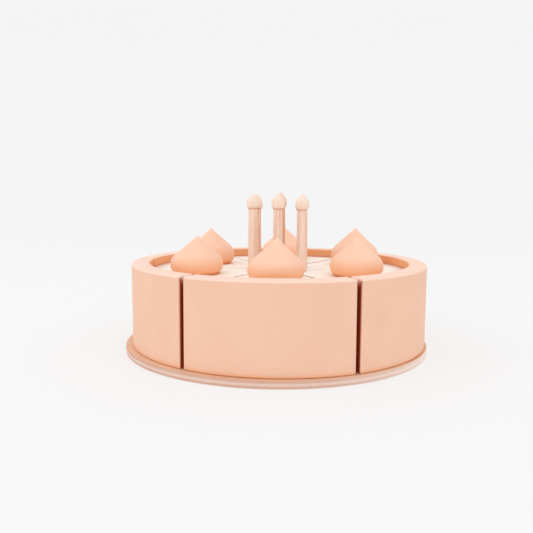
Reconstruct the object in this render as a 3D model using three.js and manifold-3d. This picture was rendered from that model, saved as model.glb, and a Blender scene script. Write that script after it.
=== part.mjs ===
// A wooden toy birthday cake: six loose wedge slices with a raised rim stand in a ring on a thin
// plywood disc. Each slice carries one turned onion-shaped dollop and one turned candle, whose foot
// stands in a drilled hole near the slice's tip.
//
// Millimetres, +Z up. The origin is the centre of the disc's underside, so the toy stands on z = 0,
// and the first slice faces -Y.
import * as THREE from 'three';
import { mergeVertices } from 'three/addons/utils/BufferGeometryUtils.js';
import Module from 'manifold-3d';

const wasm = await Module();
wasm.setup();

// ---------------------------------------------------------------- driving dimensions
const cakeRadius = 90;
const sliceCount = 6;
const sliceHeight = 49.0;
const rimWidth = 10.4;
const recessDepth = 5.3;
const seamGap = 1.2;
const restGap = 0.1;

const discRadius = 92.8;
const discThickness = 4.3;
const discEdgeRound = 0.6;
// The ring of slices doesn't stand quite centred on its disc.
const cakeShift = new THREE.Vector2(1.3, 0.3);

const rimOuterRound = 1.2;
const rimInnerRound = 0.3;
const footRound = 0.8;
const floorCornerRound = 0.6;
const tipRadius = 2.6;
// How far the cut edges of a slice are sanded round: at its outside, and at its tip.
const seamRound = 1.15;
const tipSeamRound = 0.3;

const candleCircle = 17.1;
const candleHoleRadius = 3.5;
const candleHoleDepth = 8;
const candleFootRadius = 3.15;
const candleNeckRadius = 2.7;
const candleStand = 36.9;
const flameRadius = 3.9;
const flameHeight = 9.4;

const dollopCircle = 53.6;
const dollopRadius = 15.5;
const dollopFootRadius = 13.4;
const dollopHeight = 22.7;
const dollopHeelRound = 0.6;
const dollopShoulderRadius = 12.6;

// The pieces are made by hand, so no two are quite alike. For each slice in turn, starting at the
// one that faces -Y: how many degrees it is turned from its even place in the ring, how far its
// floor's cut edges are sanded round, how much higher its rim stands, how much taller its candle and
// its dollop are, how blunt the dollop's tip is, and how far each of the two stands from its usual
// place, as [outwards, along the ring]. The seams on both sides of the first slice stand open.
const handmade = [
  { turn: 0, ease: 0.5, rim: 0, candle: 0.8, dollop: 0.5, tip: 1.7, candleAt: [0, 0.35], dollopAt: [0, 1.6] },
  { turn: 0.7, ease: 0.9, rim: 0, candle: 0, dollop: -0.6, tip: 0.6, candleAt: [-0.7, -0.4], dollopAt: [-0.3, 0.25] },
  { turn: 0.1, ease: 0.3, rim: 0, candle: 0.2, dollop: 1.7, tip: 0.5, candleAt: [-0.2, 0], dollopAt: [2.5, 0.25] },
  { turn: 0.1, ease: 0.15, rim: 0.3, candle: 1.2, dollop: 0.2, tip: 0.6, candleAt: [0, -0.15], dollopAt: [0.4, -0.7] },
  { turn: -0.4, ease: 0.3, rim: 0, candle: 0.1, dollop: 0.7, tip: 0.6, candleAt: [0, 0], dollopAt: [0.9, 0] },
  { turn: -0.7, ease: 0.9, rim: 0, candle: 0.7, dollop: -0.7, tip: 1.6, candleAt: [0.5, -0.2], dollopAt: [0.2, 0.2] },
];

// Fineness of the faceted solids
const sweepStep = THREE.MathUtils.degToRad(5);
const discSides = 72;
const dollopSides = 22;
const candleSides = 12;

// ---------------------------------------------------------------- derived heights
const sliceFoot = discThickness + restGap;
const sliceTop = sliceFoot + sliceHeight;
const floorLevel = sliceTop - recessDepth;
const recessRadius = cakeRadius - rimWidth;

// ---------------------------------------------------------------- materials
function wood(color, roughness) {
  return new THREE.MeshStandardMaterial({ color, roughness, metalness: 0 });
}

const finishes = {
  slice: () => wood(0xf0c8ad, 0.62),
  dollop: () => wood(0xf6bf9c, 0.45),
  candle: () => wood(0xf1cfba, 0.55),
  disc: () => wood(0xe2b999, 0.68),
};

// ---------------------------------------------------------------- shaping helpers

// Points of a quarter turn that rounds a corner, as Vector2(r, z) about its centre.
function cornerArc(centreR, centreZ, radius, startDegrees, sweepDegrees, steps) {
  const points = [];
  for (let i = 0; i <= steps; i += 1) {
    const angle = THREE.MathUtils.degToRad(startDegrees + (sweepDegrees * i) / steps);
    points.push(new THREE.Vector2(centreR + radius * Math.cos(angle), centreZ + radius * Math.sin(angle)));
  }
  return points;
}

// A turned piece from a THREE.Path drawn in (r, z) from the foot's centre to the tip's centre.
function turned(outline, divisions, sides) {
  const points = outline.getPoints(divisions);
  points[0].x = 0;
  points[points.length - 1].x = 0;
  const geometry = new THREE.LatheGeometry(points, sides);
  return geometry.rotateX(Math.PI / 2);
}

function asManifold(geometry) {
  const bare = geometry.clone();
  bare.deleteAttribute('normal');
  bare.deleteAttribute('uv');
  const merged = mergeVertices(bare, 1e-4);
  const vertProperties = new Float32Array(merged.attributes.position.array);
  const triVerts = new Uint32Array(merged.index.array);
  return new wasm.Manifold(new wasm.Mesh({ numProp: 3, vertProperties, triVerts }));
}

function asGeometry(solid) {
  const mesh = solid.getMesh();
  const geometry = new THREE.BufferGeometry();
  geometry.setAttribute('position', new THREE.BufferAttribute(mesh.vertProperties, 3));
  geometry.setIndex(new THREE.BufferAttribute(mesh.triVerts, 1));
  geometry.computeVertexNormals();
  return geometry;
}

// ---------------------------------------------------------------- the plywood disc
function discGeometry() {
  const edge = discRadius - discEdgeRound;
  const profile = [
    new THREE.Vector2(0, 0),
    ...cornerArc(edge, discEdgeRound, discEdgeRound, -90, 90, 1),
    ...cornerArc(edge, discThickness - discEdgeRound, discEdgeRound, 0, 90, 1),
    new THREE.Vector2(0, discThickness),
  ];
  return new THREE.LatheGeometry(profile, discSides).rotateX(Math.PI / 2);
}

// ---------------------------------------------------------------- one slice

// The upright section of a slice, as a closed loop in (r, z) that runs anticlockwise: underside,
// outside, rim, recess floor and tip. Each entry also says how far the cut edge is rounded there.
function sliceSection(rimTop, floorEase) {
  const tipRound = tipSeamRound;
  const foot = cornerArc(cakeRadius - footRound, sliceFoot + footRound, footRound, -90, 90, 2);
  const rimOutside = cornerArc(cakeRadius - rimOuterRound, rimTop - rimOuterRound, rimOuterRound, 0, 90, 2);
  const rimInside = cornerArc(recessRadius + rimInnerRound, rimTop - rimInnerRound, rimInnerRound, 90, 90, 1);
  const rimFlat = new THREE.Vector2(recessRadius + rimInnerRound + seamRound, rimTop);
  const cove = cornerArc(
    recessRadius - floorCornerRound, floorLevel + floorCornerRound, floorCornerRound, 0, -90, 2);
  const tip = [
    ...cornerArc(tipRadius + tipRound, floorLevel - tipRound, tipRound, 90, 90, 1),
    ...cornerArc(tipRadius + tipRound, sliceFoot + tipRound, tipRound, 180, 90, 1),
  ];
  return [
    ...foot.map((point) => ({ point, round: footRound })),
    ...rimOutside.map((point) => ({ point, round: seamRound })),
    { point: rimFlat, round: seamRound },
    ...rimInside.map((point) => ({ point, round: rimInnerRound })),
    ...cove.map((point) => ({ point, round: floorEase })),
    ...tip.map((point) => ({ point, round: tipSeamRound })),
  ];
}

// Unit normals of a closed anticlockwise loop, pointing out of it.
function loopNormals(points) {
  return points.map((point, i) => {
    const before = points[(i + points.length - 1) % points.length];
    const after = points[(i + 1) % points.length];
    const first = point.clone().sub(before).normalize();
    const second = after.clone().sub(point).normalize();
    const tangent = first.add(second).normalize();
    return new THREE.Vector2(tangent.y, -tangent.x);
  });
}

// The slice is its section carried round the cake's axis, from one seam to the other. At a seam
// the section starts drawn in by the rounding and set back from the seam plane, and grows to full
// size along a quarter turn.
function sliceGeometry(rimTop, floorEase) {
  const section = sliceSection(rimTop, floorEase);
  const points = section.map((entry) => entry.point);
  const normals = loopNormals(points);
  const halfSlice = Math.PI / sliceCount;
  const roundingSteps = [0, 0.5, 1].map((share) => (share * Math.PI) / 2);
  const insideColumns = Math.round((2 * halfSlice) / sweepStep);

  const stations = [];
  for (const turn of roundingSteps) {
    stations.push({ inset: 1 - Math.sin(turn), setback: 1 - Math.cos(turn), across: -1 });
  }
  for (let i = 1; i < insideColumns; i += 1) {
    stations.push({ inset: 0, setback: 1, across: (2 * i) / insideColumns - 1 });
  }
  for (const turn of [...roundingSteps].reverse()) {
    stations.push({ inset: 1 - Math.sin(turn), setback: 1 - Math.cos(turn), across: 1 });
  }

  const positions = [];
  for (const { inset, setback, across } of stations) {
    section.forEach(({ point, round }, i) => {
      const r = point.x - normals[i].x * round * inset;
      const z = point.y - normals[i].y * round * inset;
      const fromSeamPlane = seamGap / 2 + round * setback;
      const angle = across * (halfSlice - Math.asin(fromSeamPlane / r));
      positions.push(r * Math.cos(angle), r * Math.sin(angle), z);
    });
  }

  const ring = section.length;
  const index = [];
  for (let s = 0; s + 1 < stations.length; s += 1) {
    for (let i = 0; i < ring; i += 1) {
      const next = (i + 1) % ring;
      const a = s * ring + i;
      const b = s * ring + next;
      index.push(a, a + ring, b, b, a + ring, b + ring);
    }
  }
  const last = (stations.length - 1) * ring;
  const lid = THREE.ShapeUtils.triangulateShape(points, []);
  for (const [a, b, c] of lid) {
    index.push(a, b, c);
    index.push(last + a, last + c, last + b);
  }

  const geometry = new THREE.BufferGeometry();
  geometry.setAttribute('position', new THREE.Float32BufferAttribute(positions, 3));
  geometry.setIndex(index);
  return geometry;
}

function candleHoleGeometry([outward, along]) {
  const clearAbove = 2;
  const height = candleHoleDepth + clearAbove;
  const hole = new THREE.CylinderGeometry(candleHoleRadius, candleHoleRadius, height, candleSides);
  hole.rotateX(Math.PI / 2);
  return hole.translate(candleCircle + outward, along, floorLevel + clearAbove - height / 2);
}

function drilledSliceGeometry(rimTop, floorEase, holeAt) {
  const whole = asManifold(sliceGeometry(rimTop, floorEase));
  return asGeometry(whole.subtract(asManifold(candleHoleGeometry(holeAt))));
}

// ---------------------------------------------------------------- one dollop

// An onion: a small flat foot, a belly that swells out, and shoulders that run up as an almost
// straight cone to a blunt tip. Heights are shares of the dollop's own height.
function dollopGeometry(height, tipRound) {
  const up = (share) => share * height;
  const heel = { r: dollopFootRadius, z: up(0.025) };
  const belly = { r: dollopRadius, z: up(0.235) };
  const shoulder = { r: dollopShoulderRadius, z: up(0.52) };
  const tip = { r: tipRound, z: height - 0.75 * tipRound };
  const outline = new THREE.Path();
  outline.moveTo(0, 0);
  outline.lineTo(heel.r - dollopHeelRound, 0);
  outline.lineTo(heel.r, heel.z);
  outline.bezierCurveTo(heel.r + 1.1, up(0.075), belly.r, up(0.15), belly.r, belly.z);
  outline.bezierCurveTo(belly.r, up(0.36), belly.r - 1.2, up(0.455), shoulder.r, shoulder.z);
  outline.bezierCurveTo(belly.r * 0.54, up(0.68), belly.r * 0.22 + tip.r * 0.6, up(0.845), tip.r, tip.z);
  outline.lineTo(0, height);
  return turned(outline, 4, dollopSides);
}

// ---------------------------------------------------------------- one candle

// A stem that thins a little upwards, then a flame: a nearly flat collar, a full belly low down
// and sides that close in a point.
function candleGeometry(extraHeight) {
  const neck = candleHoleDepth - restGap + candleStand + extraHeight;
  const up = (share) => neck + share * flameHeight;
  const collar = { r: flameRadius - 0.6, z: up(0.05) };
  const belly = { r: flameRadius - 0.1, z: up(0.42) };
  const outline = new THREE.Path();
  outline.moveTo(0, 0);
  outline.lineTo(candleFootRadius, 0);
  outline.lineTo(candleNeckRadius, neck);
  outline.lineTo(collar.r, collar.z);
  outline.bezierCurveTo(flameRadius, up(0.12), flameRadius + 0.06, up(0.3), belly.r, belly.z);
  outline.bezierCurveTo(flameRadius * 0.93, up(0.6), flameRadius * 0.6, up(0.8), 0.3, up(0.985));
  outline.lineTo(0, up(1));
  return turned(outline, 4, candleSides);
}

// ---------------------------------------------------------------- assembly
function named(name, geometry, material) {
  const mesh = new THREE.Mesh(geometry, material);
  mesh.name = name;
  return mesh;
}

const toyCake = new THREE.Group();
toyCake.add(named('disc', discGeometry(), finishes.disc()));

const cake = new THREE.Group();
cake.position.set(cakeShift.x, cakeShift.y, 0);
toyCake.add(cake);

handmade.forEach((own, i) => {
  const number = i + 1;
  const place = new THREE.Group();
  place.rotation.z = -Math.PI / 2 + (i * 2 * Math.PI) / sliceCount + THREE.MathUtils.degToRad(own.turn);

  const slice = drilledSliceGeometry(sliceTop + own.rim, own.ease, own.candleAt);
  place.add(named(`slice_${number}`, slice, finishes.slice()));

  const dollop = named(`dollop_${number}`, dollopGeometry(dollopHeight + own.dollop, own.tip), finishes.dollop());
  const [dollopOut, dollopAlong] = own.dollopAt;
  dollop.position.set(dollopCircle + dollopOut, dollopAlong, floorLevel + restGap);
  place.add(dollop);

  const candle = named(`candle_${number}`, candleGeometry(own.candle), finishes.candle());
  const [candleOut, candleAlong] = own.candleAt;
  candle.position.set(candleCircle + candleOut, candleAlong, floorLevel - candleHoleDepth + restGap);
  place.add(candle);

  cake.add(place);
});

export default toyCake;
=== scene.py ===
"""Looks for a wooden toy birthday cake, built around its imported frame.

Six peach-stained wedge slices with a raised rim stand in a ring on a thin plywood disc. Each
slice carries a turned onion-shaped dollop and a turned candle whose foot stands in a drilled
hole. All lengths are in metres, in the frame's own axes: +Z is up, and slice 1 faces -Y.
"""

import logging
import math
from collections.abc import Mapping
from dataclasses import dataclass, field
from enum import Enum

import bpy
import numpy as np
from mathutils import Matrix, Vector


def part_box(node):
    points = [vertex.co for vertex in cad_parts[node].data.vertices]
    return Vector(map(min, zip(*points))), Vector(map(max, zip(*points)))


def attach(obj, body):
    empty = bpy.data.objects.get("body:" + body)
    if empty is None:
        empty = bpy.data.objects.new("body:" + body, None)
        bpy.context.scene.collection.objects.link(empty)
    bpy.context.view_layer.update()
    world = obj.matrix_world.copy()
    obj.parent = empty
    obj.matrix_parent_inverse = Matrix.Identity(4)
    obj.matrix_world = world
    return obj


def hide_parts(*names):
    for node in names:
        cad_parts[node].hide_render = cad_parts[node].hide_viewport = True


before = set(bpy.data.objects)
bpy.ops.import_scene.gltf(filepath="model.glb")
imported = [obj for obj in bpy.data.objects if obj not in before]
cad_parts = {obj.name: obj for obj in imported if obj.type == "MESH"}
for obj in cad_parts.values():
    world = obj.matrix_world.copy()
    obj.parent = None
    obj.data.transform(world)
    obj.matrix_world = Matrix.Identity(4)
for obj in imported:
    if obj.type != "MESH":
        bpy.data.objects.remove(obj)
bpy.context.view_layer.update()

MM = 0.001
SLICES = 6
REST_GAP = 0.1 * MM
ROOT = "root"

Array = np.ndarray
Colour = tuple[float, float, float, float]

log = logging.getLogger("toy_cake")


class Slot(Enum):
    """The record's material slots."""

    SLICE = "slice_wood"
    DOLLOP = "dollop_wood"
    CANDLE = "candle_wood"
    PLYWOOD = "plywood"


@dataclass(frozen=True)
class Habit:
    """How one slice and its dollop differ from the others, as handmade pieces do, and how much painted
    shade each gets.

    Attributes:
        turn: How many degrees the slice is turned from its even place in the ring.
        ease: How far its recess floor's cut edges are sanded round, in millimetres.
        tip: How blunt the dollop's tip is, in millimetres.
        lean: How far the dollop's tip leans towards +X, in millimetres.
        bare: How much of the painted seam shade is kept off its rim's top, from 0 to 1.
        tan: How much painted shade darkens the candle's dowel and the recess's wall, from 0 to 1.
    """

    turn: float = 0.0
    ease: float = 0.3
    tip: float = 0.6
    lean: float = 0.0
    bare: float = 0.0
    tan: float = 0.0


HABITS = (
    Habit(ease=0.5, tip=1.7, lean=0.8, bare=0.8, tan=0.1),
    Habit(turn=0.7, ease=0.9, lean=-0.2, bare=0.8),
    Habit(turn=0.1, tip=0.5, lean=0.4, bare=0.4, tan=0.1),
    Habit(turn=0.1, ease=0.15, lean=0.2, bare=0.3, tan=0.55),
    Habit(turn=-0.4, lean=-0.2, tan=0.2),
    Habit(turn=-0.7, ease=0.9, tip=1.6, lean=0.6, bare=0.8),
)


def srgb(red: float, green: float, blue: float) -> Colour:
    """Turns a colour as a display shows it into light.

    Args:
        red: Red, from 0 to 255.
        green: Green, from 0 to 255.
        blue: Blue, from 0 to 255.

    Returns:
        The colour in linear light, with full cover.
    """
    share = np.array([red, green, blue]) / 255
    light = np.where(share <= 0.04045, share / 12.92, ((share + 0.055) / 1.055) ** 2.4)
    return (*light.tolist(), 1.0)


# ------------------------------------------------------------------ meshes from whole arrays


def lattice(rows: int, columns: int, start: int) -> Array:
    """Corner numbers of the quads of a grid of points, each quad running down a row first.

    Args:
        rows: Number of rows of points.
        columns: Number of columns of points.
        start: Number of the grid's first point.

    Returns:
        An array (rows - 1, columns - 1, 4) of point numbers.
    """
    number = start + np.arange(rows * columns).reshape(rows, columns)
    return np.stack([number[:-1, :-1], number[1:, :-1], number[1:, 1:], number[:-1, 1:]], axis=-1)


@dataclass
class Skin:
    """A closed surface put together from grids of points that share their border points."""

    weld: float = 1e-6
    points: list[Array] = field(default_factory=list)
    quads: list[Array] = field(default_factory=list)
    marks: dict[str, list[Array]] = field(default_factory=dict)
    count: int = 0

    def add(self, grid: Array, marks: Mapping[str, Array | float], keep: Array | None = None,
            flip: bool = False) -> None:
        """Adds a grid of points and the quads between them.

        Args:
            grid: Points as an array (rows, columns, 3).
            marks: For each named mark, its value at each point, or one value for all.
            keep: Which quads to make, as booleans (rows - 1, columns - 1), or None for all.
            flip: Whether the quads are turned over.
        """
        rows, columns = grid.shape[:2]
        quads = lattice(rows, columns, self.count)
        chosen = quads.reshape(-1, 4) if keep is None else quads[keep]
        self.quads.append(chosen[:, ::-1] if flip else chosen)
        self.points.append(grid.reshape(-1, 3))
        for name, value in marks.items():
            spread = np.broadcast_to(np.asarray(value, float), (rows, columns))
            self.marks.setdefault(name, []).append(spread.reshape(-1))
        self.count += rows * columns

    def mesh(self, name: str, crease_degrees: float = 50.0) -> bpy.types.Object:
        """Joins the points that coincide and makes a smooth-shaded object of the result.

        Args:
            name: Name of the object.
            crease_degrees: Edges sharper than this stay crisp.

        Returns:
            The object, linked to the scene, at the origin.
        """
        points = np.concatenate(self.points)
        cells = np.round(points / self.weld).astype(np.int64)
        _, first, joined = np.unique(cells, axis=0, return_index=True, return_inverse=True)
        quads = joined.reshape(-1)[np.concatenate(self.quads)]
        twin = quads == np.roll(quads, -1, axis=1)
        whole = quads[~twin.any(axis=1)]
        pinched = twin.sum(axis=1) == 1
        order = (twin[pinched].argmax(axis=1)[:, None] + np.arange(1, 4)) % 4
        triangles = np.take_along_axis(quads[pinched], order, axis=1)

        mesh = bpy.data.meshes.new(name)
        mesh.from_pydata(points[first].tolist(), [], whole.tolist() + triangles.tolist())
        for mark, parts in self.marks.items():
            attribute = mesh.attributes.new(mark, "FLOAT", "POINT")
            attribute.data.foreach_set("value", np.concatenate(parts)[first].astype(np.float32))
        mesh.update()
        mesh.shade_smooth()
        mesh.set_sharp_from_angle(angle=math.radians(crease_degrees))
        made = bpy.data.objects.new(name, mesh)
        bpy.context.scene.collection.objects.link(made)
        return made


def even(start: float, end: float, steps: int) -> Array:
    """Evenly spaced values from start to end, leaving out the start."""
    return np.linspace(start, end, steps + 1)[1:]


def bezier(start: Array, first: Array, second: Array, end: Array, steps: int) -> Array:
    """Points of a cubic curve: each is the four control points weighted by Bernstein's terms.

    Args:
        start: Where the curve starts; this point is left out.
        first: Control point that the curve leaves towards.
        second: Control point that the curve arrives from.
        end: Where the curve ends.
        steps: Number of points.

    Returns:
        An array (steps, 2).
    """
    t = even(0.0, 1.0, steps)[:, None]
    u = 1 - t
    return u**3 * start + 3 * u**2 * t * first + 3 * u * t**2 * second + t**3 * end


def ripple(seed: int, around: Array, along: Array, waves: int = 5) -> Array:
    """Gentle unevenness: a sum of a few waves of random direction and phase, from -1 to 1.

    Args:
        seed: Number that the waves are drawn from.
        around: Angle round a turned piece, in radians.
        along: Position along it, in waves' own unit.
        waves: How many waves are added.

    Returns:
        The unevenness at each place.
    """
    draw = np.random.default_rng(seed)
    total = np.zeros(np.broadcast(around, along).shape)
    for turns in range(1, waves + 1):
        climb = draw.uniform(0.4, 1.6)
        phase = draw.uniform(0, math.tau)
        drift = draw.uniform(0, math.tau)
        total = total + np.sin(turns * around + phase) * np.cos(climb * turns * along + drift) / turns
    return total / waves


def revolve(skin: Skin, profile: Array, centre: Vector, sides: int, marks: Mapping[str, Array],
            swell: Array | float = 0.0, lean: Array | float = 0.0) -> None:
    """Adds a turned surface: each profile point (r, z) runs round the axis through the centre.

    Args:
        skin: Surface that the turned grid is added to.
        profile: Points (n, 2) from the foot's centre to the tip's centre.
        centre: Point on the axis at the profile's zero height.
        sides: Number of steps round the axis.
        marks: Marks at each profile point, as arrays of length n or (n, sides + 1).
        swell: What is added to the radius, as an array (n, sides + 1) or one number.
        lean: How far each profile point's circle is shifted along +X, as an array of length n.
    """
    angle = np.linspace(0, math.tau, sides + 1)
    angle[-1] = 0.0
    radius = profile[:, :1] + np.where(profile[:, :1] > 0, swell, 0.0)
    x = centre.x + radius * np.cos(angle) + np.reshape(lean, (-1, 1))
    y = centre.y + radius * np.sin(angle)
    z = np.broadcast_to(centre.z + profile[:, 1:], x.shape)
    spread = {name: np.reshape(value, (len(profile), -1)) for name, value in marks.items()}
    skin.add(np.stack([x, y, z], axis=-1), spread, flip=True)


# ------------------------------------------------------------------ shader graphs


class Value:
    """A number in a shader graph, which adds Math nodes where it is used in an expression."""

    def __init__(self, graph: "Graph", socket: bpy.types.NodeSocket) -> None:
        """Wraps an output socket of the graph."""
        self.graph = graph
        self.socket = socket

    def maths(self, operation: str, *others: "Value | float") -> "Value":
        """Adds one Math node.

        Args:
            operation: The Math node's operation.
            others: The operands after this value.

        Returns:
            The node's result.
        """
        operands = dict(enumerate([self, *others]))
        made = self.graph.node("ShaderNodeMath", {"operation": operation}, operands)
        return Value(self.graph, made.outputs[0])

    def flipped(self, operation: str, other: "Value | float") -> "Value":
        """Adds one Math node whose first operand is the other one."""
        made = self.graph.node("ShaderNodeMath", {"operation": operation}, {0: other, 1: self})
        return Value(self.graph, made.outputs[0])

    def __add__(self, other: "Value | float") -> "Value":
        """This plus the other."""
        return self.maths("ADD", other)

    __radd__ = __add__

    def __sub__(self, other: "Value | float") -> "Value":
        """This less the other."""
        return self.maths("SUBTRACT", other)

    def __rsub__(self, other: float) -> "Value":
        """The other less this."""
        return self.flipped("SUBTRACT", other)

    def __mul__(self, other: "Value | float") -> "Value":
        """This times the other."""
        return self.maths("MULTIPLY", other)

    __rmul__ = __mul__

    def __truediv__(self, other: "Value | float") -> "Value":
        """This divided by the other."""
        return self.maths("DIVIDE", other)

    def __pow__(self, other: "Value | float") -> "Value":
        """This to the power of the other."""
        return self.maths("POWER", other)

    def wave(self) -> "Value":
        """A wave from 0 to 1 that follows the sine of this angle in radians."""
        return self.maths("SINE") * 0.5 + 0.5

    def fade(self, low: float, high: float) -> "Value":
        """A smooth step from 0 where this is low to 1 where it is high.

        Args:
            low: Where the step starts; it may be the larger one, for a step down.
            high: Where the step ends.

        Returns:
            The step, kept between 0 and 1.
        """
        settings = {"interpolation_type": "SMOOTHSTEP", "clamp": True}
        up = low < high
        inputs = {"Value": self, "From Min": min(low, high), "From Max": max(low, high),
                  "To Min": 0.0 if up else 1.0, "To Max": 1.0 if up else 0.0}
        made = self.graph.node("ShaderNodeMapRange", settings, inputs)
        return Value(self.graph, made.outputs["Result"])


class Graph:
    """A material's node tree round one Principled shader."""

    def __init__(self, name: str) -> None:
        """Starts a material that holds only its shader and its output."""
        self.material = bpy.data.materials.new(name)
        self.material.use_nodes = True
        self.tree = self.material.node_tree
        self.tree.nodes.clear()
        self.shader = self.node("ShaderNodeBsdfPrincipled")
        self.node("ShaderNodeOutputMaterial", {}, {"Surface": self.shader.outputs["BSDF"]})

    def node(self, kind: str, settings: Mapping[str, object] | None = None,
             inputs: Mapping[str | int, object] | None = None) -> bpy.types.Node:
        """Adds a node, sets its settings first, then fills its sockets.

        Args:
            kind: The node's type.
            settings: Its own properties.
            inputs: What goes into its sockets, by name or number: a link or a constant.

        Returns:
            The node.
        """
        made = self.tree.nodes.new(kind)
        for key, setting in (settings or {}).items():
            setattr(made, key, setting)
        for key, given in (inputs or {}).items():
            self.feed(made.inputs[key], given)
        return made

    def feed(self, socket: bpy.types.NodeSocket, given: object) -> None:
        """Links a value or an output to an input socket, or sets the socket's constant."""
        if isinstance(given, Value):
            given = given.socket
        if isinstance(given, bpy.types.NodeSocket):
            self.tree.links.new(given, socket)
        else:
            socket.default_value = given

    def place(self, centre: Vector, turn: float = 0.0) -> bpy.types.NodeSocket:
        """Object coordinates measured from a centre and turned about the upright axis.

        Args:
            centre: The point that becomes zero.
            turn: The angle that the pattern is turned by, in radians.

        Returns:
            The coordinates.
        """
        own = self.node("ShaderNodeTexCoord").outputs["Object"]
        settings = {"vector_type": "TEXTURE"}
        inputs = {"Vector": own, "Location": tuple(centre), "Rotation": (0.0, 0.0, turn)}
        return self.node("ShaderNodeMapping", settings, inputs).outputs["Vector"]

    def tilt(self, place: bpy.types.NodeSocket, angles: tuple[float, float, float]) -> bpy.types.NodeSocket:
        """Coordinates turned by an angle about each axis, in radians."""
        inputs = {"Vector": place, "Rotation": angles}
        return self.node("ShaderNodeMapping", {"vector_type": "POINT"}, inputs).outputs["Vector"]

    def stretch(self, place: bpy.types.NodeSocket, factors: tuple[float, float, float],
                shift: float = 0.0) -> bpy.types.NodeSocket:
        """Coordinates times a factor along each axis, plus the same shift on each."""
        settings = {"operation": "MULTIPLY_ADD"}
        inputs = {0: place, 1: factors, 2: (shift, shift, shift)}
        return self.node("ShaderNodeVectorMath", settings, inputs).outputs["Vector"]

    def noise(self, place: bpy.types.NodeSocket, detail: float = 3.0, rough: float = 0.55) -> Value:
        """Soft noise from 0 to 1 with about one bump for each unit of its coordinates."""
        inputs = {"Vector": place, "Scale": 1.0, "Detail": detail, "Roughness": rough}
        return Value(self, self.node("ShaderNodeTexNoise", {}, inputs).outputs["Fac"])

    def cloud(self, place: bpy.types.NodeSocket, bumps: float, shift: float = 0.0,
              detail: float = 3.0) -> Value:
        """Soft noise with so many bumps to the metre, shifted so that blocks of wood differ."""
        return self.noise(self.stretch(place, (bumps, bumps, bumps), shift), detail)

    def axes(self, place: bpy.types.NodeSocket) -> tuple[Value, Value, Value]:
        """The three coordinates as numbers."""
        split = self.node("ShaderNodeSeparateXYZ", {}, {"Vector": place})
        x, y, z = (Value(self, output) for output in split.outputs)
        return x, y, z

    def mark(self, name: str) -> Value:
        """A mark that the mesh carries at its points."""
        return Value(self, self.node("ShaderNodeAttribute", {"attribute_name": name}).outputs["Fac"])

    def mix(self, share: Value | float, first: object, second: object) -> bpy.types.NodeSocket:
        """A colour that goes from the first to the second as the share goes from 0 to 1."""
        inputs = {0: share, 6: first, 7: second}
        return self.node("ShaderNodeMix", {"data_type": "RGBA"}, inputs).outputs[2]

    def finish(self, colour: object, roughness: object, height: Value | None = None,
               relief: float = 0.0, sheen: Mapping[str, float] | None = None) -> bpy.types.Material:
        """Feeds the shader and returns the material.

        Args:
            colour: The surface's colour.
            roughness: The surface's roughness.
            height: The fine relief, from 0 to 1, or None for a smooth surface.
            relief: How tall the relief is, in metres.
            sheen: Constants that are set on the shader's own sockets.

        Returns:
            The finished material.
        """
        self.feed(self.shader.inputs["Base Color"], colour)
        self.feed(self.shader.inputs["Roughness"], roughness)
        self.shader.inputs["Emission Color"].default_value = (1.0, 1.0, 1.0, 1.0)
        for name, constant in (sheen or {}).items():
            self.shader.inputs[name].default_value = constant
        if height is not None:
            inputs = {"Height": height, "Strength": 1.0, "Distance": relief}
            bump = self.node("ShaderNodeBump", {}, inputs)
            self.feed(self.shader.inputs["Normal"], bump.outputs["Normal"])
        return self.material


@dataclass(frozen=True)
class Grain:
    """The figure of a light wood: growth bands, fibres along the grain, and short open pores.

    Attributes:
        band: Width of a growth band.
        fibre: Width of a fibre streak.
        length: How many times longer than wide a streak is.
        warp: How strongly broad noise bends the bands, in radians.
        seed: Shift that makes one block of wood differ from the next.
    """

    band: float = 5.0 * MM
    fibre: float = 0.45 * MM
    length: float = 26.0
    warp: float = 16.0
    seed: float = 0.0

    def figure(self, graph: Graph, place: bpy.types.NodeSocket) -> tuple[Value, Value, Value]:
        """Draws the wood with its grain along the coordinates' Z.

        The bands are a sine of the distance across the grain, warped by broad noise; fibres and
        pores are noise drawn out along the grain, the pores cut off to short dark dashes.

        Args:
            graph: The material's graph.
            place: Coordinates in metres, with Z along the grain.

        Returns:
            The bands, the fibres and the pores, each from 0 to 1.
        """
        across, _, _ = graph.axes(place)
        broad = 1 / (6 * self.band)
        bend = graph.noise(graph.stretch(place, (broad, broad, broad / 4), self.seed), 2.0)
        phase = across * (math.tau / self.band) + bend * self.warp + self.seed
        bands = phase.wave()
        thin = 1 / self.fibre
        streaks = graph.stretch(place, (thin, thin, thin / self.length), self.seed)
        fibres = graph.noise(streaks, 3.0, 0.65)
        dashes = graph.stretch(place, (2 * thin, 2 * thin, thin / 4), self.seed + 7.0)
        dots = graph.noise(dashes, 1.0)
        return bands, fibres, dots.fade(0.66, 0.78)


# ------------------------------------------------------------------ finishes


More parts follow.
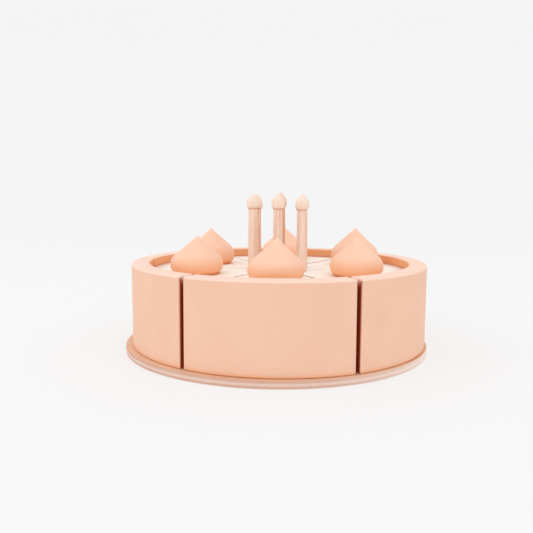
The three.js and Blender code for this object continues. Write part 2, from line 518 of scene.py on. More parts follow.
@dataclass(frozen=True)
class SliceStain:
    """Thin matt peach stain on a sanded slice, with a paler cream recess, a painted highlight on the rim's
    top and painted shade in its hollows and seams.

    Attributes:
        tan: How much darker this slice's painted shade is, from 0 to 1.
        peach: The stain on the outside.
        peach_dark: The same along its darker fibres.
        crown: A painted highlight on the rim's top and its rounded edges.
        deep: The painted shade on the recess's wall and corner, the foot's edge, the tip's face, the seams'
            faces and the hole; also the pores' colour.
        cut: A dark brown for the painted shade deep in the seams' gaps and in the recess's corner, and for
            the darker painted shade of some slices.
        cream: The recess floor.
        cream_dark: The same along its darker fibres.
        milling: Distance between the cutter's rings in the recess floor.
    """

    tan: float
    peach: Colour = srgb(245, 200, 174)
    peach_dark: Colour = srgb(237, 187, 158)
    crown: Colour = srgb(252, 216, 198)
    deep: Colour = srgb(250, 182, 126)
    cut: Colour = srgb(166, 60, 8)
    cream: Colour = srgb(255, 249, 240)
    cream_dark: Colour = srgb(253, 232, 216)
    milling: float = 1.1 * MM

    def material(self, number: int, centre: Vector, turn: float) -> bpy.types.Material:
        """Makes the stain for one slice, with the grain across its bisector.

        Args:
            number: The slice's number, which also picks its block of wood.
            centre: The cake's axis.
            turn: The angle of the slice's bisector, in radians.

        Returns:
            The material.
        """
        graph = Graph(f"peach_stain_{number}")
        place = graph.place(centre, turn)
        across = graph.tilt(place, (math.pi / 2, 0.0, 0.0))
        bands, fibres, pores = Grain(band=9 * MM, seed=3.7 * number).figure(graph, across)
        cloud = graph.cloud(place, 45.0, 1.3 * number)
        drift = graph.cloud(place, 22.0, 0.7 * number, 1.0)
        recess, soak, seam_shade = graph.mark("recess"), graph.mark("soak"), graph.mark("seam_shade")
        crown, edge, nook = graph.mark("crown"), graph.mark("edge"), graph.mark("nook")

        tone = fibres.fade(0.3, 0.75) * 0.3 + bands * 0.12 + cloud.fade(0.35, 0.7) * 0.18
        stained = graph.mix(tone, self.peach, self.peach_dark)
        # Painted highlight on the rim's top and its rounded edges.
        stained = graph.mix(crown * (0.86 + cloud * 0.2), stained, self.crown)
        # Painted shade on the recess's wall and corner, the foot's edge, the tip's face, the seams' faces
        # and the hole.
        stained = graph.mix(soak * (0.62 + drift * 0.5), stained, self.deep)
        # A darker painted shade on the shaded places, stronger on some slices.
        stained = graph.mix(soak * (0.04 + 0.36 * self.tan) * (0.5 + cloud), stained, self.cut)

        x, y, _ = graph.axes(place)
        radius = (x * x + y * y) ** 0.5
        turning = (radius * (math.tau / self.milling) + cloud * 5.0).wave()
        milled = graph.mix(tone * 0.75 + turning * 0.15, self.cream, self.cream_dark)
        colour = graph.mix(recess, stained, milled)
        colour = graph.mix(pores * 0.2, colour, self.deep)
        # Painted shade, dark brown, deep in the seams' gaps and in the recess's corner.
        colour = graph.mix(seam_shade * (0.85 + fibres * 0.3) + nook * 0.45, colour, self.cut)

        roughness = 0.58 + fibres * 0.16 - edge * 0.08
        height = fibres * 0.5 + bands * 0.15 - pores * 0.6 + turning * recess * 0.5
        return graph.finish(colour, roughness, height, 0.03 * MM, {"Specular IOR Level": 0.3})


@dataclass(frozen=True)
class TurnedStain:
    """Satin stain on a lathe-turned dollop, with painted shade where the belly turns under and at its foot.

    Attributes:
        light: The stain on the upper side.
        deep: The painted shade where the belly turns under.
        foot: The painted shade at the foot, and the pores.
        tip_tone: The paler colour that the tip turns to.
        lathe_pitch: Distance between the finest tool rings.
    """

    light: Colour = srgb(251, 206, 180)
    deep: Colour = srgb(250, 178, 122)
    foot: Colour = srgb(214, 104, 40)
    tip_tone: Colour = srgb(253, 216, 194)
    lathe_pitch: float = 0.55 * MM

    def material(self, number: int, centre: Vector, height: float) -> bpy.types.Material:
        """Makes the stain for one dollop, with its grain upright.

        Args:
            number: The dollop's number, which also picks its block of wood.
            centre: The centre of its foot.
            height: Its height.

        Returns:
            The material.
        """
        graph = Graph(f"dollop_stain_{number}")
        place = graph.place(centre, 1.1 * number)
        wood = Grain(band=3.4 * MM, fibre=0.35 * MM, seed=5.1 * number)
        bands, fibres, pores = wood.figure(graph, place)
        cloud = graph.cloud(place, 90.0, 2.9 * number)
        _, _, z = graph.axes(place)
        rise = z / height + (cloud - 0.5) * 0.08
        # Painted shade under the belly and at the foot; the colour also turns paler towards the tip.
        under = rise.fade(0.5, 0.02)
        heel = rise.fade(0.1, 0.0)
        tip = rise.fade(0.86, 1.0)
        lathe = (z * (math.tau / self.lathe_pitch) + cloud * 4.0).wave()

        tone = fibres.fade(0.3, 0.75) * 0.07 + bands * 0.035 + cloud.fade(0.35, 0.7) * 0.08
        colour = graph.mix(tone + under * 0.75, self.light, self.deep)
        colour = graph.mix(tip * 0.6, colour, self.tip_tone)
        colour = graph.mix(heel * 0.7 + pores * 0.12, colour, self.foot)
        roughness = 0.42 + fibres * 0.12 + under * 0.08
        relief = fibres * 0.4 + lathe * 0.3 - pores * 0.4 + bands * 0.1
        return graph.finish(colour, roughness, relief, 0.02 * MM, {"Specular IOR Level": 0.35})


@dataclass(frozen=True)
class BareDowel:
    """Pale pinkish bare wood of a turned candle, with fine upright grain.

    Attributes:
        tan: How much painted shade darkens this candle's stem, from 0 to 1.
        pale: The bare wood.
        dark: The same along its darker fibres.
        end: The cut grain of the collar, and the pores; also the painted shade on the stem just above the
            recess floor and on a darker-shaded stem.
        lathe_pitch: Distance between the finest tool rings.
    """

    tan: float
    pale: Colour = srgb(254, 235, 221)
    dark: Colour = srgb(226, 174, 143)
    end: Colour = srgb(202, 130, 84)
    lathe_pitch: float = 0.45 * MM

    def material(self, number: int, centre: Vector, floor: float, neck: float) -> bpy.types.Material:
        """Makes the wood for one candle, whose flame is sanded paler.

        Args:
            number: The candle's number, which also picks its block of wood.
            centre: The centre of its foot.
            floor: How high above the foot the slice's recess floor lies.
            neck: How high above the foot the flame starts.

        Returns:
            The material.
        """
        graph = Graph(f"candle_wood_{number}")
        place = graph.place(centre, 0.9 * number)
        wood = Grain(band=1.9 * MM, fibre=0.28 * MM, length=40, seed=2.3 * number)
        bands, fibres, pores = wood.figure(graph, place)
        cloud = graph.noise(graph.stretch(place, (160.0, 160.0, 30.0), 4.1 * number), 2.0)
        _, _, z = graph.axes(place)
        lathe = (z * (math.tau / self.lathe_pitch) + cloud * 3.0).wave()
        collar = graph.mark("collar")
        # Painted shade on the stem just above the recess floor, where it stands in its hole.
        foot = z.fade(floor + 2.0 * MM, floor - 0.5 * MM)

        # The candle is darkened by its painted shade, the stem more than the flame.
        tone = bands * 0.3 + fibres.fade(0.35, 0.7) * 0.5 + cloud * 0.1 + 0.8 * self.tan
        flame = z.fade(neck, neck + 1.5 * MM)
        colour = graph.mix(tone * (1 - flame * 0.5), self.pale, self.dark)
        colour = graph.mix(self.tan * (1 - flame) * 0.35, colour, self.end)
        colour = graph.mix(collar * 0.55 + foot * 0.35 + pores * 0.3, colour, self.end)
        roughness = 0.46 + fibres * 0.2
        relief = fibres * 0.5 + lathe * 0.25 - pores * 0.5 + bands * 0.2
        return graph.finish(colour, roughness, relief, 0.025 * MM, {"Specular IOR Level": 0.4})


@dataclass(frozen=True)
class Plywood:
    """Sanded plywood: a tan face veneer with long grain, and light and dark plies at the edge.

    Attributes:
        face: The face veneer.
        face_dark: The same along its darker bands and fibres.
        long_grain: A ply at the edge whose grain runs along it.
        end_grain: A ply at the edge whose grain is cut across.
        pale: The edge where it is sanded bare.
        glue: The thin lines between the plies.
        paling: How fast the edge turns pale where it is sanded.
    """

    face: Colour = srgb(238, 198, 168)
    face_dark: Colour = srgb(212, 158, 124)
    long_grain: Colour = srgb(232, 202, 187)
    end_grain: Colour = srgb(210, 162, 138)
    pale: Colour = srgb(255, 240, 232)
    glue: Colour = srgb(172, 112, 82)
    paling: float = 1.2

    def material(self, centre: Vector) -> bpy.types.Material:
        """Makes the plywood, with the face veneer's grain along X.

        Args:
            centre: The centre of the disc's underside.

        Returns:
            The material.
        """
        graph = Graph("birch_plywood")
        place = graph.place(centre)
        along = graph.tilt(place, (0.0, math.pi / 2, 0.0))
        wood = Grain(band=14 * MM, fibre=0.5 * MM, length=60, seed=1.9)
        bands, fibres, pores = wood.figure(graph, along)
        cloud = graph.cloud(place, 60.0)
        speckle = graph.noise(graph.stretch(place, (2600.0, 2600.0, 1800.0)), 2.0)

        tone = bands * 0.35 + fibres.fade(0.3, 0.75) * 0.4 + cloud * 0.2
        veneer = graph.mix(tone, self.face, self.face_dark)
        veneer = graph.mix(pores * 0.35, veneer, self.end_grain)
        crossing, seam, rim = graph.mark("crossing"), graph.mark("seam"), graph.mark("rim")
        grainy = (speckle - 0.5) * 0.4 + (cloud - 0.5) * 0.5
        plies = graph.mix(crossing + grainy, self.long_grain, self.end_grain)
        plies = graph.mix(crossing * -self.paling, plies, self.pale)
        plies = graph.mix(seam * 0.35, plies, self.glue)
        colour = graph.mix(rim, veneer, plies)
        roughness = 0.6 + fibres * 0.12 + crossing * rim * 0.12
        relief = fibres * (1 - rim) * 0.6 - pores * (1 - rim) * 0.6 + speckle * rim * crossing * 0.9
        return graph.finish(colour, roughness, relief, 0.05 * MM, {"Specular IOR Level": 0.3})


# ------------------------------------------------------------------ the toy's pieces


def settle(made: bpy.types.Object, material: bpy.types.Material,
           node: str) -> bpy.types.Object:
    """Dresses a finished piece and lets it stand for its CAD node.

    Args:
        made: The piece.
        material: Its finish.
        node: The CAD node that the piece replaces.

    Returns:
        The piece.
    """
    made.data.materials.append(material)
    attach(made, ROOT)
    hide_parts(node)
    log.info("%s: %d faces, stands for %s", made.name, len(made.data.polygons), node)
    return made


def middle(node: str) -> Vector:
    """The centre of a CAD node's underside."""
    low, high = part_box(node)
    return Vector(((low.x + high.x) / 2, (low.y + high.y) / 2, low.z))


@dataclass
class PlyDisc:
    """The thin plywood disc that the slices stand on.

    Its section runs along the underside, round a sanded edge, up past the plies, which stand a
    hair proud of one another, and back along the top; the section turns about the upright axis.
    Towards +X the edge is sanded bare: the plies' tone falls off there with the square of the
    cosine of the angle from +X, to a tone below zero, which the finish shows paler.
    """

    edge_round: float = 0.55 * MM
    ply_shares: tuple[float, ...] = (0.13, 0.2, 0.36, 0.19, 0.12)
    ply_tones: tuple[float, ...] = (0.35, 0.75, 0.05, 0.7, 0.85)
    glue_line: float = 0.09 * MM
    scrape: float = 0.05 * MM
    bare_tone: float = -0.6
    flat_points: int = 40
    round_steps: int = 8
    wall_steps: int = 56
    sides: int = 360

    def build(self) -> bpy.types.Object:
        """Makes and dresses the disc."""
        low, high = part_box("disc")
        radius, thickness = (high.x - low.x) / 2, high.z - low.z
        profile = self.section(radius, thickness)
        height = profile[:, 1]
        limits = np.cumsum(self.ply_shares)[:-1] * thickness
        ply = np.searchsorted(limits, height)
        at_edge = np.clip((profile[:, 0] - (radius - self.edge_round)) / (0.4 * self.edge_round), 0, 1)
        tone = np.array(self.ply_tones)[ply]
        sanded = np.clip(np.cos(np.linspace(0, math.tau, self.sides + 1)), 0, 1) ** 2
        crossing = tone[:, None] * (1 - sanded) + self.bare_tone * sanded
        to_glue = np.abs(height[:, None] - limits).min(axis=1)
        seam = np.clip(1 - to_glue / self.glue_line, 0, 1)
        swell = -self.scrape * at_edge[:, None] * np.clip(crossing, 0, 1)
        skin = Skin()
        marks = {"crossing": crossing, "seam": seam, "rim": at_edge}
        revolve(skin, profile, middle("disc"), self.sides, marks, swell)
        made = skin.mesh("ply_disc")
        return settle(made, Plywood().material(middle("disc")), "disc")

    def section(self, radius: float, thickness: float) -> Array:
        """The disc's section, from the underside's centre to the top's centre.

        Args:
            radius: The disc's radius.
            thickness: Its thickness.

        Returns:
            Points (n, 2) as radius and height.
        """
        inner = radius - self.edge_round
        turn = np.radians(even(-90, 0, self.round_steps))
        underside = np.stack([np.linspace(0, inner, self.flat_points), np.zeros(self.flat_points)], axis=1)
        lower = np.stack([inner + self.edge_round * np.cos(turn),
                          self.edge_round + self.edge_round * np.sin(turn)], axis=1)
        wall_heights = even(self.edge_round, thickness - self.edge_round, self.wall_steps)
        wall = np.stack([np.full_like(wall_heights, radius), wall_heights], axis=1)
        upper = np.stack([lower[::-1, 0], thickness - lower[::-1, 1]], axis=1)[1:]
        top = np.stack([underside[::-1, 0], np.full(self.flat_points, thickness)], axis=1)
        return np.concatenate([underside, lower, wall, upper, top])


SECTION_MARKS = ("edge", "soak", "crown", "nook")


@dataclass
class Section:
    """An upright section of a slice in (r, z), drawn segment by segment as a closed loop.

    Besides its points it keeps the normal that points out of the wood, how far the cut edge is
    rounded there, and the marks for the finish.
    """

    points: list[Array] = field(default_factory=list)
    normals: list[Array] = field(default_factory=list)
    rounding: list[Array] = field(default_factory=list)
    marks: dict[str, list[Array]] = field(default_factory=dict)

    def add(self, points: Array, normals: Array, rounding: tuple[float, float],
            marks: Mapping[str, float]) -> None:
        """Adds a segment's points.

        Args:
            points: Points (n, 2).
            normals: Unit normals (n, 2).
            rounding: The seam rounding at the segment's two ends.
            marks: Marks along the segment; one that isn't given is 0.
        """
        count = len(points)
        self.points.append(points)
        self.normals.append(normals)
        self.rounding.append(even(*rounding, count))
        for name in SECTION_MARKS:
            self.marks.setdefault(name, []).append(np.full(count, marks.get(name, 0.0)))

    def line(self, start: tuple[float, float], end: tuple[float, float], steps: int,
             rounding: tuple[float, float], **marks: float) -> None:
        """Adds a straight segment; its outward normal lies to the right of its direction."""
        share = even(0, 1, steps)[:, None]
        first, last = np.array(start), np.array(end)
        run = (last - first) / np.linalg.norm(last - first)
        normal = np.array([run[1], -run[0]])
        self.add(first + share * (last - first), np.tile(normal, (steps, 1)), rounding, marks)

    def arc(self, centre: tuple[float, float], radius: float, start: float, sweep: float, steps: int,
            rounding: tuple[float, float], **marks: float) -> None:
        """Adds an arc about a centre; a clockwise one is a hollow corner, with its normal inwards."""
        angle = np.radians(start + even(0, sweep, steps))
        outward = np.stack([np.cos(angle), np.sin(angle)], axis=1)
        normals = outward * math.copysign(1.0, sweep)
        self.add(np.array(centre) + radius * outward, normals, rounding, marks)


@dataclass
class CakeSlice:
    """One wedge of the cake.

    Its section, a block with a raised rim outside and a lower floor inside, is carried round the
    cake's axis from one seam to the other. At a seam the section starts drawn in by the edge's
    rounding and grows to full size along a quarter turn. A grid of rings that shrink from the
    floor's outline to a circle leaves the hole for the candle.
    """

    number: int
    habit: Habit
    rim_width: float = 10.4 * MM
    seam_gap: float = 1.2 * MM
    rim_outer_round: float = 1.2 * MM
    rim_inner_round: float = 0.3 * MM
    foot_round: float = 0.8 * MM
    floor_corner: float = 0.6 * MM
    tip_radius: float = 2.6 * MM
    seam_round: float = 1.15 * MM
    tip_round: float = 0.3 * MM
    hole_radius: float = 3.5 * MM
    hole_depth: float = 8.0 * MM
    hole_lip: float = 0.25 * MM
    heart_share: float = 0.4
    edge_reach: float = 1.6
    seam_shade_reach: float = 1.3
    seam_shade_start: float = 0.1
    ring_crowding: float = 0.75
    columns: int = 72
    round_steps: int = 6
    floor_steps: int = 44
    seam_loops: int = 9
    floor_rings: int = 15
    lip_steps: int = 5
    bore_steps: int = 8
    bottom_steps: int = 4

    def build(self) -> bpy.types.Object:
        """Makes and dresses the slice."""
        node = f"slice_{self.number}"
        axis, bisector = cake_axis(), self.bisector()
        section = self.section(cake_radius())
        skin = Skin()
        self.carry(skin, section)
        spin = np.array(Matrix.Rotation(bisector, 3, "Z"))
        skin.points = [grid @ spin.T + np.array([axis.x, axis.y, 0.0]) for grid in skin.points]
        made = skin.mesh(f"cake_slice_{self.number}")
        stain = SliceStain(self.habit.tan).material(self.number, axis, bisector)
        return settle(made, stain, node)

    def bisector(self) -> float:
        """The slice's direction: its place in the ring and its own small turn."""
        return -math.pi / 2 + (self.number - 1) * math.tau / SLICES + math.radians(self.habit.turn)

    def section(self, radius: float) -> Section:
        """Draws the slice's section anticlockwise, starting at the inner end of the underside.

        Args:
            radius: The cake's radius.

        Returns:
            The section; the floor is its stretch of floor_steps points.
        """
        low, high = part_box(f"slice_{self.number}")
        foot, top, floor = low.z, high.z, floor_level(self.number)
        wide, narrow, crisp = self.seam_round, self.tip_round, self.rim_inner_round
        ease = self.habit.ease * MM
        tip, wall = self.tip_radius, radius - self.rim_width
        inner, outer, base = self.rim_inner_round, self.rim_outer_round, self.foot_round
        cove = self.floor_corner
        drawn = Section()
        # The marks lay painted shade on the underside, the foot's edge, the recess's wall and corner and
        # the tip's face, and a painted highlight on the rim's top.
        drawn.arc((tip + narrow, foot + narrow), narrow, 180, 90, 4, (narrow, narrow))
        drawn.line((tip + narrow, foot), (radius - base, foot), 40, (narrow, base), soak=1)
        drawn.arc((radius - base, foot + base), base, -90, 90, 8, (base, base), edge=1, soak=0.55)
        drawn.line((radius, foot + base), (radius, top - outer), 30, (base, wide))
        drawn.arc((radius - outer, top - outer), outer, 0, 90, 12, (wide, wide), edge=1, crown=1)
        drawn.line((radius - outer, top), (wall + inner + wide, top), 10, (wide, wide), crown=1)
        drawn.line((wall + inner + wide, top), (wall + inner, top), 6, (wide, crisp), crown=1)
        drawn.arc((wall + inner, top - inner), inner, 90, 90, 6, (crisp, crisp), edge=1, crown=0.5)
        drawn.line((wall, top - inner), (wall, floor + cove), 10, (crisp, ease), soak=1)
        drawn.arc((wall - cove, floor + cove), cove, 0, -90, 6, (ease, ease), soak=1, nook=1)
        drawn.line((wall - cove, floor), (tip + narrow, floor), self.floor_steps, (ease, narrow))
        drawn.arc((tip + narrow, floor - narrow), narrow, 90, 90, 4, (narrow, narrow), edge=1)
        drawn.line((tip, floor - narrow), (tip, foot + narrow), 16, (narrow, narrow), soak=1)
        return drawn

    def place(self, r: Array, z: Array, setback: Array | float, across: Array | float) -> Array:
        """Places section points round the axis.

        A point lies at radius r, at an angle that is the given share of the half slice, less the
        angle whose sine is the distance from the seam's plane over r.

        Args:
            r: Radii.
            z: Heights.
            setback: Distances from the plane through the seam's middle.
            across: Shares from -1 at one seam to 1 at the other.

        Returns:
            Points with one more axis of length 3.
        """
        half = math.pi / SLICES
        angle = across * (half - np.arcsin(setback / r))
        return np.stack([r * np.cos(angle), r * np.sin(angle), np.broadcast_to(z, angle.shape)], axis=-1)

    def carry(self, skin: Skin, section: Section) -> None:
        """Adds the whole slice, in its own place with the bisector along +X.

        Args:
            skin: Surface that the grids are added to.
            section: The slice's section.
        """
        points, normals = np.concatenate(section.points), np.concatenate(section.normals)
        rounding = np.concatenate(section.rounding)
        loop = np.arange(len(points) + 1) % len(points)
        turn = np.linspace(0, math.pi / 2, self.round_steps + 1)
        grow, back = 1 - np.sin(turn), 1 - np.cos(turn)
        flat = np.linspace(-1, 1, self.columns + 1)[1:-1]
        inset = np.concatenate([grow, np.zeros_like(flat), grow[::-1]])
        setback = np.concatenate([back, np.ones_like(flat), back[::-1]])
        across = np.concatenate([-np.ones_like(grow), flat, np.ones_like(grow)])
        drawn_in = points - normals * (rounding * inset[:, None])[..., None]
        r, z = drawn_in[..., 0], drawn_in[..., 1]
        away = self.seam_gap / 2 + rounding * setback[:, None]
        grid = self.place(r, z, away, across[:, None])[:, loop]

        ends = np.cumsum([len(part) for part in section.points])
        floor_span = (int(ends[9]) - 1, int(ends[10]) - 1)
        flat_span = (self.round_steps, len(inset) - 1 - self.round_steps)
        keep = np.ones((len(inset) - 1, len(points)), bool)
        keep[flat_span[0]:flat_span[1], floor_span[0]:floor_span[1]] = False

        on_floor = np.zeros(len(points))
        on_floor[floor_span[0]:floor_span[1] + 1] = 1.0
        marks = {name: np.concatenate(parts)[loop] for name, parts in section.marks.items()}
        marks["edge"] = np.maximum(marks["edge"], np.clip(inset * self.edge_reach, 0, 1)[:, None])
        # Painted shade in the seams grows towards each seam, and is kept partly off the rim's top.
        seam_shade = np.clip(inset * self.seam_shade_reach - self.seam_shade_start, 0, 1)[:, None]
        marks["seam_shade"] = seam_shade * (1 - self.habit.bare * marks["crown"])
        skin.add(grid, {**marks, "recess": on_floor[loop]}, keep)
        self.close_seams(skin, r, z, loop)
        self.drill(skin, self.border(grid, flat_span, floor_span))

    def close_seams(self, skin: Skin, r: Array, z: Array, loop: Array) -> None:
        """Closes both cut faces with loops that shrink in the seam's plane towards one point.

        Args:
            skin: Surface that the grids are added to.
            r: Radii of the drawn-in section at each station.
            z: Heights of the drawn-in section at each station.
            loop: Point numbers that close the section's loop.
        """
        heart_r = r.max() - self.rim_width / 2
        heart_z = z.min() + self.heart_share * (z.max() - z.min())
        shrink = np.linspace(1, 0, self.seam_loops)[:, None]
        # The cut faces in the seams carry painted shade.
        marks = {**dict.fromkeys(SECTION_MARKS, 0.0), "soak": 1.0, "seam_shade": 1.0, "recess": 0.0}
        for station, side in ((0, -1.0), (-1, 1.0)):
            inner_r = heart_r + shrink * (r[station] - heart_r)
            inner_z = heart_z + shrink * (z[station] - heart_z)
            grid = self.place(inner_r, inner_z, self.seam_gap / 2, side)[:, loop]
            skin.add(grid, marks, flip=side < 0)

    def border(self, grid: Array, stations: tuple[int, int], floor: tuple[int, int]) -> Array:
        """The closed outline of the flat floor, as points of the carried grid."""
        (s0, s1), (f0, f1) = stations, floor
        return np.concatenate([grid[s0:s1, f0], grid[s1, f0:f1], grid[s1:s0:-1, f1], grid[s0, f1:f0:-1],
                               grid[s0:s0 + 1, f0]])

    def hole(self) -> tuple[float, float]:
        """The candle hole's centre in the slice's own place: outwards and along the ring."""
        low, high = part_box(f"candle_{self.number}")
        offset = (low + high) / 2 - cake_axis()
        own = Matrix.Rotation(-self.bisector(), 3, "Z") @ offset
        return own.x, own.y

    def drill(self, skin: Skin, border: Array) -> None:
        """Adds the floor round the candle's hole, and the hole.

        Rings go from the floor's outline to the hole's lip; each point moves straight towards
        the lip's point that lies in its own direction from the hole's centre. Then the rings
        turn over the lip, run down the wall and close at the bottom's centre.

        Args:
            skin: Surface that the grid is added to.
            border: The floor's outline, closed.
        """
        out, along = self.hole()
        floor = floor_level(self.number)
        direction = np.arctan2(border[:, 1] - along, border[:, 0] - out)
        share = (np.linspace(0, 1, self.floor_rings) ** self.ring_crowding)[:, None]
        mouth = self.hole_radius + self.hole_lip
        x = border[:, 0] * (1 - share) + (out + mouth * np.cos(direction)) * share
        y = border[:, 1] * (1 - share) + (along + mouth * np.sin(direction)) * share
        plate = np.stack([x, y, np.full_like(x, floor)], axis=-1)

        turn = even(0, math.pi / 2, self.lip_steps)
        wall = even(self.hole_lip, self.hole_depth, self.bore_steps)
        ring = np.concatenate([mouth - self.hole_lip * np.sin(turn),
                               np.full(self.bore_steps, self.hole_radius),
                               even(self.hole_radius, 0, self.bottom_steps)])[:, None]
        depth = np.concatenate([self.hole_lip * (1 - np.cos(turn)), wall,
                                np.full(self.bottom_steps, self.hole_depth)])
        down = np.stack([out + ring * np.cos(direction), along + ring * np.sin(direction),
                         np.broadcast_to(floor - depth[:, None], (len(ring), len(direction)))], axis=-1)
        grid = np.concatenate([plate, down])
        # The hole's lip, wall and bottom carry painted shade.
        soak = np.concatenate([np.zeros(len(plate)), np.ones(len(down))])[None, :]
        marks = {**dict.fromkeys(SECTION_MARKS, 0.0), "soak": soak, "seam_shade": 0.0, "recess": 1 - soak}
        skin.add(np.swapaxes(grid, 0, 1), marks)


@dataclass(frozen=True)
class Lathe:
    """How a lathe leaves a turned piece: a little out of round, with fine rings.

    Attributes:
        uneven: How far the radius strays.
        climb: How quickly the unevenness changes from foot to tip.
        line: Depth of the tool's rings.
        pitch: Distance between the rings.
        sides: Number of steps round the piece.
    """

    uneven: float
    climb: float
    line: float
    pitch: float
    sides: int

    def swell(self, seed: int, heights: Array, rise: Array, calm: Array) -> Array:
        """What is added to the radius: waves of unevenness, and a sine of the height for the rings.

        Args:
            seed: Number that the unevenness is drawn from.
            heights: Height of each profile point, as an array (n, 1).
            rise: The same as a share of the piece's height.
            calm: How strongly each point is marked, from 0 to 1.

        Returns:
            An array (n, sides + 1).
        """
        angle = np.linspace(0, math.tau, self.sides + 1)
        waves = self.uneven * ripple(seed, angle, rise * self.climb) * calm
        return waves + self.line * np.sin(heights * math.tau / self.pitch) * calm


@dataclass
class Dollop:
    """A turned onion: a small flat foot, a belly, shoulders that run up to a blunt tip.

    The profile is cubic curves between a heel, the belly, the shoulder and the tip, turned about
    the upright axis; the tip leans a little, with the square of the height.
    """

    number: int
    habit: Habit
    foot_radius: float = 13.4 * MM
    foot_round: float = 0.6 * MM
    shoulder_in: float = 2.9 * MM
    foot_share: float = 0.025
    belly_share: float = 0.235
    shoulder_share: float = 0.52
    pared: float = 0.3
    lathe: Lathe = Lathe(0.16 * MM, 3, 0.01 * MM, 1.3 * MM, 128)

    def build(self) -> bpy.types.Object:
        """Makes and dresses the dollop."""
        node = f"dollop_{self.number}"
        low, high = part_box(node)
        centre, height = middle(node), high.z - low.z
        radius = max(high.x - low.x, high.y - low.y) / 2
        profile = self.profile(radius, height)
        rise = profile[:, 1:] / height
        calm = np.sin(math.pi * np.clip(rise, 0, 1)) ** 0.7
        swell = self.lathe.swell(self.number, profile[:, 1:], rise, calm)
        skin = Skin()
        revolve(skin, profile, centre, self.lathe.sides, {}, swell - self.lathe.uneven * self.pared,
                self.habit.lean * MM * rise[:, 0] ** 2)
        made = skin.mesh(f"dollop_turned_{self.number}", 70)
        return settle(made, TurnedStain().material(self.number, centre, height), node)

    def profile(self, radius: float, height: float) -> Array:
        """The dollop's outline from the foot's centre to the tip.

        Args:
            radius: The belly's radius.
            height: The dollop's height.

        Returns:
            Points (n, 2) as radius and height.
        """
        def at(r: float, share: float) -> Array:
            """A place on the outline at a radius and a share of the height."""
            return np.array([r, share * height])

        blunt_by = self.habit.tip * MM
        foot, belly = at(self.foot_radius, self.foot_share), at(radius, self.belly_share)
        shoulder = at(radius - self.shoulder_in, self.shoulder_share)
        tip = at(blunt_by, 1 - 0.75 * blunt_by / height)
        base = np.stack([np.linspace(0, self.foot_radius - self.foot_round, 12), np.zeros(12)], axis=1)
        heel = bezier(base[-1], at(self.foot_radius - 0.2 * MM, 0.0),
                      at(self.foot_radius - 0.1 * MM, 0.012), foot, 6)
        swell = bezier(foot, at(self.foot_radius + 1.1 * MM, 0.075), at(radius, 0.15), belly, 22)
        close = bezier(belly, at(radius, 0.36), at(radius - 1.2 * MM, 0.455), shoulder, 26)
        rise = bezier(shoulder, at(radius * 0.54, 0.68), at(radius * 0.22 + blunt_by * 0.6, 0.845),
                      tip, 36)
        blunt = bezier(tip, at(blunt_by * 0.75, 1 - 0.3 * blunt_by / height),
                       at(blunt_by * 0.5, 1.0), at(0.0, 1.0), 8)
        return np.concatenate([base, heel, swell, close, rise, blunt])


@dataclass
class Candle:
    """A turned candle: a stem that thins upwards and a flame with a collar, a belly and a point."""

    number: int
    habit: Habit
    foot_radius: float = 3.15 * MM
    neck_radius: float = 2.7 * MM
    flame_radius: float = 3.9 * MM
    flame_height: float = 9.4 * MM
    foot_round: float = 0.3 * MM
    collar_height: float = 0.2 * MM
    collar_width: float = 0.5 * MM
    first_seed: int = 40
    lathe: Lathe = Lathe(0.05 * MM, 12, 0.008 * MM, 0.9 * MM, 72)

    def build(self) -> bpy.types.Object:
        """Makes and dresses the candle."""
        node = f"candle_{self.number}"
        low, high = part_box(node)
        centre, height = middle(node), high.z - low.z
        profile = self.profile(height)
        neck = height - self.flame_height
        rise = profile[:, 1:] / height
        calm = np.clip((height - profile[:, 1:]) / (2 * MM), 0, 1)
        swell = self.lathe.swell(self.first_seed + self.number, profile[:, 1:], rise, calm)
        collar = np.clip(1 - np.abs(profile[:, 1] - neck - self.collar_height) / self.collar_width, 0, 1)
        skin = Skin(weld=1e-7)
        revolve(skin, profile, centre, self.lathe.sides, {"collar": collar}, swell)
        made = skin.mesh(f"candle_turned_{self.number}", 60)
        floor = floor_level(self.number) - low.z
        wood = BareDowel(self.habit.tan).material(self.number, centre, floor, neck)
        return settle(made, wood, node)

    def profile(self, height: float) -> Array:
        """The candle's outline from the foot's centre to the flame's tip.

        Args:
            height: The candle's height.

        Returns:
            Points (n, 2) as radius and height.
        """
        neck = height - self.flame_height

        def at(r: float, share: float) -> Array:
            """A place on the flame at a radius and a share of the flame's height."""
            return np.array([r, neck + share * self.flame_height])

        base = np.stack([np.linspace(0, self.foot_radius - self.foot_round, 5), np.zeros(5)], axis=1)
        heel = np.array([[self.foot_radius - 0.1 * MM, 0.1 * MM], [self.foot_radius, self.foot_round]])
        stem_z = even(self.foot_round, neck, 90)
        stem_r = np.interp(stem_z, (0, neck), (self.foot_radius, self.neck_radius))
        stem = np.stack([stem_r, stem_z], axis=1)
        wide = self.flame_radius
        under = bezier(stem[-1], at(self.neck_radius + 0.1 * MM, 0.01), at(wide - 0.9 * MM, 0.015),
                       at(wide - 0.6 * MM, 0.05), 8)
        belly = bezier(under[-1], at(wide, 0.12), at(wide + 0.06 * MM, 0.3),
                       at(wide - 0.1 * MM, 0.42), 20)
        sides = bezier(belly[-1], at(wide * 0.93, 0.6), at(wide * 0.6, 0.8), at(0.3 * MM, 0.984), 24)
        blunt = bezier(sides[-1], at(0.2 * MM, 0.994), at(0.1 * MM, 1.0), at(0.0, 1.0), 4)
        return np.concatenate([base, heel, stem, under, belly, sides, blunt])


def floor_level(number: int) -> float:
    """The height of a slice's recess floor, which its dollop rests on."""
    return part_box(f"dollop_{number}")[0].z - REST_GAP


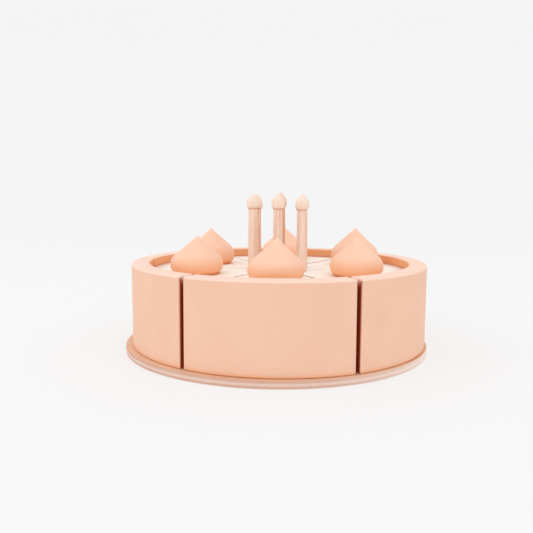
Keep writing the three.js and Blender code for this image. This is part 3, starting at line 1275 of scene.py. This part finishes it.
def cake_axis() -> Vector:
    """The point at the ground on the axis that the slices stand round."""
    boxes = [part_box(f"slice_{number}") for number in range(1, SLICES + 1)]
    low = np.min([np.array(pair[0]) for pair in boxes], axis=0)
    high = np.max([np.array(pair[1]) for pair in boxes], axis=0)
    return Vector(((low[0] + high[0]) / 2, (low[1] + high[1]) / 2, 0.0))


def cake_radius() -> float:
    """The radius of the ring of slices, which slices 1 and 4 reach squarely."""
    return (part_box("slice_4")[1].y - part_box("slice_1")[0].y) / 2


# ------------------------------------------------------------------ studio


@dataclass
class Studio:
    """A pale round cove, soft light from all round, and the camera.

    Angles are in degrees: azimuth turns the camera round the cake from the front towards +X,
    pitch tips it down, yaw turns it to its left, and roll leans it.
    """

    opening: float = 88 * MM
    drop: float = 0.05 * MM
    floor_radius: float = 1.0
    cove_radius: float = 2.4
    cove_height: float = 1.6
    paper: Colour = srgb(160, 160, 160)
    glow: float = 0.575
    sky_strength: float = 0.9
    key_place: tuple[float, float, float] = (0.7, -0.9, 1.5)
    key_size: float = 1.4
    key_watts: float = 4.2
    fill_place: tuple[float, float, float] = (-1.1, -0.5, 0.9)
    fill_size: float = 1.2
    fill_watts: float = 3.0
    aim_height: float = 0.04
    azimuth: float = 3.39
    distance: float = 0.3959
    height: float = 0.0980
    pitch: float = 6.98
    yaw: float = 1.105
    roll: float = 0.31
    lens: float = 43.04

    def build(self) -> None:
        """Makes the cove, the lights and the camera."""
        self.make_cove()
        self.make_sky()
        self.make_lamp("key_softbox", Vector(self.key_place), self.key_size, self.key_watts)
        self.make_lamp("fill_softbox", Vector(self.fill_place), self.fill_size, self.fill_watts)
        self.make_camera()

    def make_cove(self) -> None:
        """Makes the backdrop: a flat floor whose rim sweeps up in a quarter ellipse all round.

        The floor is open under the disc, which covers the opening, and lies a hair below it.
        """
        turn = np.radians(np.linspace(0, 90, 40))
        reach = self.cove_radius - self.floor_radius
        flat = np.stack([np.linspace(self.opening, self.floor_radius, 12)[:-1], np.zeros(11)], axis=1)
        rise = self.cove_height * (1 - np.cos(turn))
        sweep = np.stack([self.floor_radius + reach * np.sin(turn), rise], axis=1)
        skin = Skin()
        revolve(skin, np.concatenate([flat, sweep]), Vector((0, 0, -self.drop)), 96, {})
        skin.quads = [quads[:, ::-1] for quads in skin.quads]
        cove = skin.mesh("cove")
        graph = Graph("backdrop_paper")
        place = graph.place(Vector((0, 0, 0)))
        fleck = graph.cloud(place, 3.0, detail=2.0)
        tint = tuple(channel * 0.985 for channel in self.paper[:3]) + (1.0,)
        colour = graph.mix(fleck, self.paper, tint)
        sheen = {"Specular IOR Level": 0.0, "Emission Strength": self.glow}
        cove.data.materials.append(graph.finish(colour, 0.95, sheen=sheen))

    def make_sky(self) -> None:
        """Sets an even white sky."""
        world = bpy.data.worlds.new("soft_sky")
        bpy.context.scene.world = world
        world.use_nodes = True
        sky = world.node_tree.nodes["Background"]
        sky.inputs["Color"].default_value = (1.0, 1.0, 1.0, 1.0)
        sky.inputs["Strength"].default_value = self.sky_strength
        bpy.context.scene.view_settings.view_transform = "Standard"

    def make_lamp(self, name: str, place: Vector, size: float, watts: float) -> None:
        """Adds a square softbox that faces the cake.

        Args:
            name: The lamp's name.
            place: Where it hangs.
            size: The length of its side.
            watts: Its power.
        """
        lamp = bpy.data.lights.new(name, "AREA")
        lamp.shape = "SQUARE"
        lamp.size = size
        lamp.energy = watts
        held = bpy.data.objects.new(name, lamp)
        held.location = place
        aim = Vector((0, 0, self.aim_height)) - place
        held.rotation_euler = aim.to_track_quat("-Z", "Y").to_euler()
        bpy.context.scene.collection.objects.link(held)

    def make_camera(self) -> None:
        """Adds the camera, in front of the cake and a little to its right, looking slightly down."""
        axis = cake_axis()
        around = Matrix.Rotation(math.radians(self.azimuth), 4, "Z")
        place = around @ Vector((0.0, -self.distance, self.height)) + axis
        turn = (around @ Matrix.Rotation(math.radians(self.yaw), 4, "Z")
                @ Matrix.Rotation(math.radians(90 - self.pitch), 4, "X")
                @ Matrix.Rotation(math.radians(self.roll), 4, "Z"))
        lens = bpy.data.cameras.new("camera")
        lens.lens = self.lens
        lens.sensor_width = 36.0
        lens.clip_start, lens.clip_end = 0.01, 20.0
        held = bpy.data.objects.new("camera", lens)
        held.matrix_world = Matrix.Translation(place) @ turn
        bpy.context.scene.collection.objects.link(held)
        bpy.context.scene.camera = held


def main() -> None:
    """Builds the studio, the disc, and each slice with what stands on it."""
    logging.basicConfig(level=logging.INFO, format="%(name)s: %(message)s")
    Studio().build()
    PlyDisc().build()
    for number, habit in enumerate(HABITS, start=1):
        CakeSlice(number, habit).build()
        Dollop(number, habit).build()
        Candle(number, habit).build()


if __name__ == "__main__":
    main()
